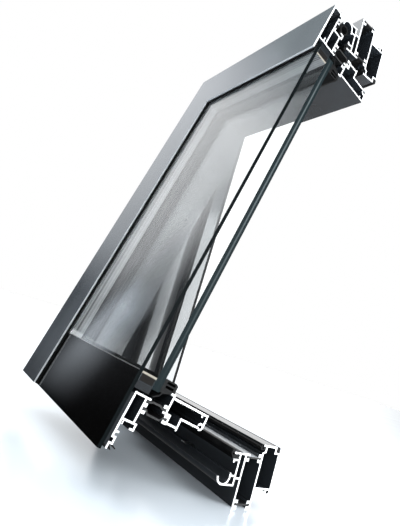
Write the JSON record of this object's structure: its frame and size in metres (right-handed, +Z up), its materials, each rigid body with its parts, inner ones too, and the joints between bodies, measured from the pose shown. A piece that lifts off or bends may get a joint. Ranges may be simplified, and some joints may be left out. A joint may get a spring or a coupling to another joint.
{
  "type": "aluminium window section sample",
  "caption": "Sawn display sample of a top-hung, outward opening aluminium window, with a thermally broken frame and a double glazed sash swung out at the bottom.",
  "frame": {"origin": "on the flat underside of the sill's outer foot, halfway along the sill and halfway across the foot", "axes": "+Z up the fixed frame, +Y from the outside into the room, +X along the sill towards the sawn end"},
  "size_m": [0.322, 0.2228, 0.6],
  "materials": {
    "frame_coat": "satin dark powder coat, bare metal where it is sawn",
    "cover_coat": "satin grey metallic coat",
    "polyamide": "matt glass-filled polyamide",
    "rubber": "matt black",
    "glass": "polished, enamelled border",
    "spacer": "mill finish",
    "spacer_fill": "matt dark brown drying compound",
    "sealant": "smooth black",
    "hardware": "satin"
  },
  "bodies": {
    "root": {"bonding_tape": "sealant", "bottom_rail_glazing_gasket": "rubber", "bottom_rail_inner_profile": "frame_coat", "bottom_rail_outer_profile": "frame_coat", "bottom_rail_thermal_bars": "polyamide", "bottom_rail_tip_seal": "rubber", "edge_sealant": "sealant", "head_bulb_seal": "rubber", "head_frame_seal": "rubber", "head_inner_shell": "frame_coat", "head_outer_shell": "frame_coat", "head_stop_seal": "rubber", "head_thermal_bars": "polyamide", "head_trim_seal": "rubber", "inner_pane": "glass", "jamb_frame_seal": "rubber", "jamb_inner_shell": "frame_coat", "jamb_outer_shell": "frame_coat", "jamb_stop_seal": "rubber", "jamb_thermal_bars": "polyamide", "jamb_trim_seal": "rubber", "left_cover": "cover_coat", "left_cover_gasket": "rubber", "left_stile_glazing_gasket": "rubber", "left_stile_inner_profile": "frame_coat", "left_stile_outer_profile": "frame_coat", "left_stile_thermal_bars": "polyamide", "outer_pane": "glass", "sill_clip": "hardware", "sill_frame_seal": "rubber", "sill_inner_shell": "frame_coat", "sill_outer_shell": "frame_coat", "sill_stop_seal": "rubber", "sill_thermal_bars": "polyamide", "sill_trim_seal": "rubber", "spacer": "spacer", "spacer_fill": "spacer_fill", "top_cover": "cover_coat", "top_cover_gasket": "rubber", "top_rail_glazing_gasket": "rubber", "top_rail_inner_profile": "frame_coat", "top_rail_outer_profile": "frame_coat", "top_rail_thermal_bars": "polyamide"}
  },
  "joints": []
}
